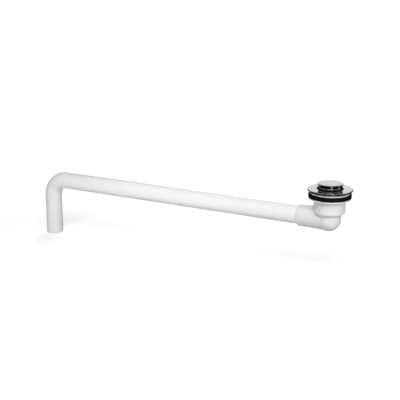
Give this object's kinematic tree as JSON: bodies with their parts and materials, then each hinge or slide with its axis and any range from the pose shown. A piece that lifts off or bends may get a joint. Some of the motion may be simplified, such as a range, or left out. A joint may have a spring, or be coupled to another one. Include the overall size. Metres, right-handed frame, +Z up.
{
  "type": "bath waste with outlet pipe",
  "caption": "Push-plug bath waste: chrome flange and pop-up plug on a white moulded elbow, with a long straight outlet pipe that turns down to a plain spigot.",
  "frame": {"origin": "on the waste axis at the underside of the drain flange, where it bears on the bath", "axes": "+Z up along the waste axis, -X along the outlet pipe, Y across it"},
  "size_m": [0.6303, 0.0766, 0.1724],
  "materials": {
    "chrome_plate": "bright polished chrome plate on brass",
    "black_rubber": "matt moulded rubber",
    "white_nylon": "satin white washer plastic",
    "white_moulding": "satin white injection moulding",
    "white_pipe": "satin white extruded pipe",
    "turned_brass": "turned brass",
    "spring_steel": "bright spring steel"
  },
  "bodies": {
    "waste": {"drain_flange": "chrome_plate", "flange_gasket": "black_rubber", "slip_washer": "white_nylon", "shoe_gasket": "black_rubber", "waste_shoe": "white_moulding", "outlet_pipe": "white_pipe", "core_spindle": "turned_brass", "return_spring": "spring_steel"},
    "plug": {"plug_cap": "chrome_plate", "plug_seal": "black_rubber", "seal_retainer": "white_nylon", "slider_sleeve": "turned_brass", "latch_pin": "spring_steel", "pin_clip": "spring_steel", "sleeve_circlip": "spring_steel"}
  },
  "joints": [
    {"name": "plug_press", "type": "slide", "parent": "waste", "child": "plug", "axis": [0, 0, 1], "range_m": [-0.0085, 0], "stiffness_N_per_m": 400, "springref_m": 0.01, "deforming": ["return_spring"]}
  ]
}
